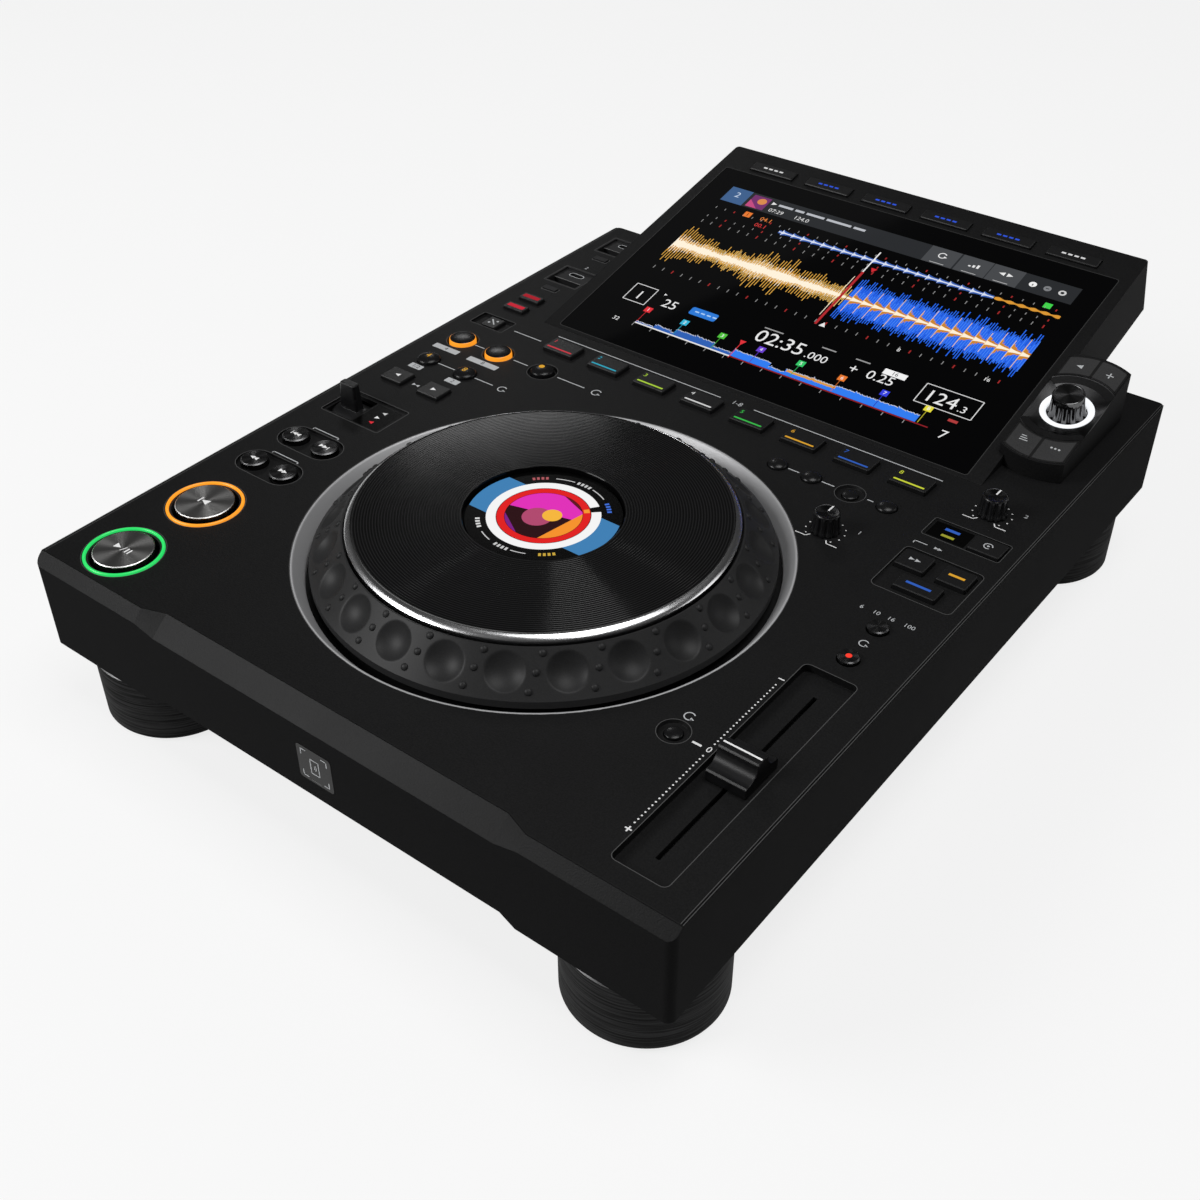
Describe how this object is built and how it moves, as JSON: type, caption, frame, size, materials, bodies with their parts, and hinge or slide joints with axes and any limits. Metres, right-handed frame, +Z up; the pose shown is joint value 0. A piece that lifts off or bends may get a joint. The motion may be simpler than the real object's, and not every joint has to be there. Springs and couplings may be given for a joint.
{
  "type": "tabletop dj media deck",
  "caption": "Table-top DJ media deck with a jog wheel, tilted display, transport and cue keys, browser knob, direction lever and tempo fader on round feet.",
  "frame": {"origin": "on the table, under the middle of the whole deck's width and depth", "axes": "+X right, +Y from the front to the back, +Z up; seen by a person who plays it"},
  "size_m": [0.329, 0.4693, 0.1214],
  "materials": {
    "case": "fine-grained satin black",
    "deck": "fine-grained satin black",
    "housing": "satin black",
    "block": "satin black with a spun dish",
    "gloss_black": "glossy black",
    "display": "cover glass over a lit display module",
    "board": "green board",
    "feet": "brushed and black anodised, with a bright chamfer",
    "grey_keys": "satin grey",
    "well_ring": "polished",
    "bearing": "machined",
    "jog_display": "cover glass over a lit round display",
    "light_rings": "clear light guides, lit from below",
    "track": "satin black",
    "bays": "satin dark grey",
    "sockets": "satin black with metal contacts",
    "keys": "satin rubbery dark grey",
    "hot_keys": "satin dark grey with a lit bar",
    "metal_keys": "spun gunmetal",
    "grip": "soft satin dark grey",
    "jog_plate": "turned, black anodised, with a polished edge",
    "lever": "satin black",
    "fader": "satin black",
    "knobs": "satin black with a spun top",
    "power_key": "satin black"
  },
  "bodies": {
    "deck": {"lower_case": "case", "top_panel": "deck", "reader_pad": "gloss_black", "main_board": "board", "feet": "feet", "screen_housing": "housing", "touch_display": "display", "screen_keys": "grey_keys", "browser_block": "block", "browser_keys": "grey_keys", "jog_well_ring": "well_ring", "jog_bearing": "bearing", "jog_display": "jog_display", "light_rings": "light_rings", "fader_track": "track", "memory_bays": "bays", "rear_sockets": "sockets"},
    "jog_wheel": {"jog_ring": "grip", "jog_plate": "jog_plate"},
    "slip_key": {"slip_key": "keys"},
    "quantize_key": {"quantize_key": "keys"},
    "loop_delete_key": {"loop_delete_key": "keys"},
    "beat_jump_back_key": {"beat_jump_back_key": "keys"},
    "beat_jump_forward_key": {"beat_jump_forward_key": "keys"},
    "jog_mode_key": {"jog_mode_key": "keys"},
    "beat_sync_key": {"beat_sync_key": "keys"},
    "master_key": {"master_key": "keys"},
    "key_sync_key": {"key_sync_key": "keys"},
    "beat_loop_4_key": {"beat_loop_4_key": "keys"},
    "beat_loop_8_key": {"beat_loop_8_key": "keys"},
    "loop_in_key": {"loop_in_key": "keys"},
    "loop_out_key": {"loop_out_key": "keys"},
    "reloop_key": {"reloop_key": "keys"},
    "call_back_key": {"call_back_key": "keys"},
    "call_forward_key": {"call_forward_key": "keys"},
    "delete_key": {"delete_key": "keys"},
    "memory_key": {"memory_key": "keys"},
    "tempo_range_key": {"tempo_range_key": "keys"},
    "master_tempo_key": {"master_tempo_key": "keys"},
    "tempo_reset_key": {"tempo_reset_key": "keys"},
    "track_search_back_key": {"track_search_back_key": "keys"},
    "track_search_forward_key": {"track_search_forward_key": "keys"},
    "search_back_key": {"search_back_key": "keys"},
    "search_forward_key": {"search_forward_key": "keys"},
    "hot_cue_1_key": {"hot_cue_1_key": "hot_keys"},
    "hot_cue_2_key": {"hot_cue_2_key": "hot_keys"},
    "hot_cue_3_key": {"hot_cue_3_key": "hot_keys"},
    "hot_cue_4_key": {"hot_cue_4_key": "hot_keys"},
    "hot_cue_5_key": {"hot_cue_5_key": "hot_keys"},
    "hot_cue_6_key": {"hot_cue_6_key": "hot_keys"},
    "hot_cue_7_key": {"hot_cue_7_key": "hot_keys"},
    "hot_cue_8_key": {"hot_cue_8_key": "hot_keys"},
    "play_key": {"play_key": "metal_keys"},
    "cue_key": {"cue_key": "metal_keys"},
    "power_key": {"power_key": "power_key"},
    "direction_lever": {"direction_lever": "lever"},
    "tempo_fader": {"tempo_fader": "fader"},
    "jog_feel_knob": {"jog_feel_knob": "knobs"},
    "stop_speed_knob": {"stop_speed_knob": "knobs"},
    "browser_knob": {"browser_knob": "knobs"}
  },
  "joints": [
    {"name": "jog_turn", "type": "hinge", "parent": "deck", "child": "jog_wheel", "pos_m": [0, -0.09787, 0.0813], "axis": [0, 0, 1], "continuous": true},
    {"name": "slip_press", "type": "slide", "parent": "deck", "child": "slip_key", "axis": [0, 0, -1], "range_m": [0, 0.001], "stiffness_N_per_m": 200, "springref_m": -0.0008},
    {"name": "quantize_press", "type": "slide", "parent": "deck", "child": "quantize_key", "axis": [0, 0, -1], "range_m": [0, 0.001], "stiffness_N_per_m": 200, "springref_m": -0.0008},
    {"name": "loop_delete_press", "type": "slide", "parent": "deck", "child": "loop_delete_key", "axis": [0, 0, -1], "range_m": [0, 0.001], "stiffness_N_per_m": 200, "springref_m": -0.0008},
    {"name": "beat_jump_back_press", "type": "slide", "parent": "deck", "child": "beat_jump_back_key", "axis": [0, 0, -1], "range_m": [0, 0.001], "stiffness_N_per_m": 200, "springref_m": -0.0008},
    {"name": "beat_jump_forward_press", "type": "slide", "parent": "deck", "child": "beat_jump_forward_key", "axis": [0, 0, -1], "range_m": [0, 0.001], "stiffness_N_per_m": 200, "springref_m": -0.0008},
    {"name": "jog_mode_press", "type": "slide", "parent": "deck", "child": "jog_mode_key", "axis": [0, 0, -1], "range_m": [0, 0.001], "stiffness_N_per_m": 200, "springref_m": -0.0008},
    {"name": "beat_sync_press", "type": "slide", "parent": "deck", "child": "beat_sync_key", "axis": [0, 0, -1], "range_m": [0, 0.001], "stiffness_N_per_m": 200, "springref_m": -0.0008},
    {"name": "master_press", "type": "slide", "parent": "deck", "child": "master_key", "axis": [0, 0, -1], "range_m": [0, 0.001], "stiffness_N_per_m": 200, "springref_m": -0.0008},
    {"name": "key_sync_press", "type": "slide", "parent": "deck", "child": "key_sync_key", "axis": [0, 0, -1], "range_m": [0, 0.001], "stiffness_N_per_m": 200, "springref_m": -0.0008},
    {"name": "beat_loop_4_press", "type": "slide", "parent": "deck", "child": "beat_loop_4_key", "axis": [0, 0, -1], "range_m": [0, 0.001], "stiffness_N_per_m": 200, "springref_m": -0.0008},
    {"name": "beat_loop_8_press", "type": "slide", "parent": "deck", "child": "beat_loop_8_key", "axis": [0, 0, -1], "range_m": [0, 0.001], "stiffness_N_per_m": 200, "springref_m": -0.0008},
    {"name": "loop_in_press", "type": "slide", "parent": "deck", "child": "loop_in_key", "axis": [0, 0, -1], "range_m": [0, 0.001], "stiffness_N_per_m": 200, "springref_m": -0.0008},
    {"name": "loop_out_press", "type": "slide", "parent": "deck", "child": "loop_out_key", "axis": [0, 0, -1], "range_m": [0, 0.001], "stiffness_N_per_m": 200, "springref_m": -0.0008},
    {"name": "reloop_press", "type": "slide", "parent": "deck", "child": "reloop_key", "axis": [0, 0, -1], "range_m": [0, 0.001], "stiffness_N_per_m": 200, "springref_m": -0.0008},
    {"name": "call_back_press", "type": "slide", "parent": "deck", "child": "call_back_key", "axis": [0, 0, -1], "range_m": [0, 0.001], "stiffness_N_per_m": 200, "springref_m": -0.0008},
    {"name": "call_forward_press", "type": "slide", "parent": "deck", "child": "call_forward_key", "axis": [0, 0, -1], "range_m": [0, 0.001], "stiffness_N_per_m": 200, "springref_m": -0.0008},
    {"name": "delete_press", "type": "slide", "parent": "deck", "child": "delete_key", "axis": [0, 0, -1], "range_m": [0, 0.001], "stiffness_N_per_m": 200, "springref_m": -0.0008},
    {"name": "memory_press", "type": "slide", "parent": "deck", "child": "memory_key", "axis": [0, 0, -1], "range_m": [0, 0.001], "stiffness_N_per_m": 200, "springref_m": -0.0008},
    {"name": "tempo_range_press", "type": "slide", "parent": "deck", "child": "tempo_range_key", "axis": [0, 0, -1], "range_m": [0, 0.001], "stiffness_N_per_m": 200, "springref_m": -0.0008},
    {"name": "master_tempo_press", "type": "slide", "parent": "deck", "child": "master_tempo_key", "axis": [0, 0, -1], "range_m": [0, 0.001], "stiffness_N_per_m": 200, "springref_m": -0.0008},
    {"name": "tempo_reset_press", "type": "slide", "parent": "deck", "child": "tempo_reset_key", "axis": [0, 0, -1], "range_m": [0, 0.001], "stiffness_N_per_m": 200, "springref_m": -0.0008},
    {"name": "track_search_back_press", "type": "slide", "parent": "deck", "child": "track_search_back_key", "axis": [0, 0, -1], "range_m": [0, 0.001], "stiffness_N_per_m": 200, "springref_m": -0.0008},
    {"name": "track_search_forward_press", "type": "slide", "parent": "deck", "child": "track_search_forward_key", "axis": [0, 0, -1], "range_m": [0, 0.001], "stiffness_N_per_m": 200, "springref_m": -0.0008},
    {"name": "search_back_press", "type": "slide", "parent": "deck", "child": "search_back_key", "axis": [0, 0, -1], "range_m": [0, 0.001], "stiffness_N_per_m": 200, "springref_m": -0.0008},
    {"name": "search_forward_press", "type": "slide", "parent": "deck", "child": "search_forward_key", "axis": [0, 0, -1], "range_m": [0, 0.001], "stiffness_N_per_m": 200, "springref_m": -0.0008},
    {"name": "hot_cue_1_press", "type": "slide", "parent": "deck", "child": "hot_cue_1_key", "axis": [0, 0, -1], "range_m": [0, 0.001], "stiffness_N_per_m": 200, "springref_m": -0.0008},
    {"name": "hot_cue_2_press", "type": "slide", "parent": "deck", "child": "hot_cue_2_key", "axis": [0, 0, -1], "range_m": [0, 0.001], "stiffness_N_per_m": 200, "springref_m": -0.0008},
    {"name": "hot_cue_3_press", "type": "slide", "parent": "deck", "child": "hot_cue_3_key", "axis": [0, 0, -1], "range_m": [0, 0.001], "stiffness_N_per_m": 200, "springref_m": -0.0008},
    {"name": "hot_cue_4_press", "type": "slide", "parent": "deck", "child": "hot_cue_4_key", "axis": [0, 0, -1], "range_m": [0, 0.001], "stiffness_N_per_m": 200, "springref_m": -0.0008},
    {"name": "hot_cue_5_press", "type": "slide", "parent": "deck", "child": "hot_cue_5_key", "axis": [0, 0, -1], "range_m": [0, 0.001], "stiffness_N_per_m": 200, "springref_m": -0.0008},
    {"name": "hot_cue_6_press", "type": "slide", "parent": "deck", "child": "hot_cue_6_key", "axis": [0, 0, -1], "range_m": [0, 0.001], "stiffness_N_per_m": 200, "springref_m": -0.0008},
    {"name": "hot_cue_7_press", "type": "slide", "parent": "deck", "child": "hot_cue_7_key", "axis": [0, 0, -1], "range_m": [0, 0.001], "stiffness_N_per_m": 200, "springref_m": -0.0008},
    {"name": "hot_cue_8_press", "type": "slide", "parent": "deck", "child": "hot_cue_8_key", "axis": [0, 0, -1], "range_m": [0, 0.001], "stiffness_N_per_m": 200, "springref_m": -0.0008},
    {"name": "play_press", "type": "slide", "parent": "deck", "child": "play_key", "axis": [0, 0, -1], "range_m": [0, 0.001], "stiffness_N_per_m": 200, "springref_m": -0.0008},
    {"name": "cue_press", "type": "slide", "parent": "deck", "child": "cue_key", "axis": [0, 0, -1], "range_m": [0, 0.001], "stiffness_N_per_m": 200, "springref_m": -0.0008},
    {"name": "power_press", "type": "slide", "parent": "deck", "child": "power_key", "axis": [0, -1, 0], "range_m": [0, 0.0025], "stiffness_N_per_m": 200, "springref_m": -0.0008},
    {"name": "direction_tilt", "type": "hinge", "parent": "deck", "child": "direction_lever", "pos_m": [-0.1447, -0.06707, 0.0673], "axis": [1, 0, 0], "range_deg": [-20, 20]},
    {"name": "tempo_slide", "type": "slide", "parent": "deck", "child": "tempo_fader", "axis": [0, 1, 0], "range_m": [-0.048, 0.048]},
    {"name": "jog_feel_turn", "type": "hinge", "parent": "deck", "child": "jog_feel_knob", "pos_m": [0.089, -0.01797, 0.0813], "axis": [0, 0, 1], "range_deg": [-150, 150]},
    {"name": "stop_speed_turn", "type": "hinge", "parent": "deck", "child": "stop_speed_knob", "pos_m": [0.1398, 0.03603, 0.0813], "axis": [0, 0, 1], "range_deg": [-150, 150]},
    {"name": "browser_turn", "type": "hinge", "parent": "deck", "child": "browser_knob", "pos_m": [0.138, 0.11005, 0.09438], "axis": [0, -0.2233, 0.9748], "continuous": true}
  ]
}
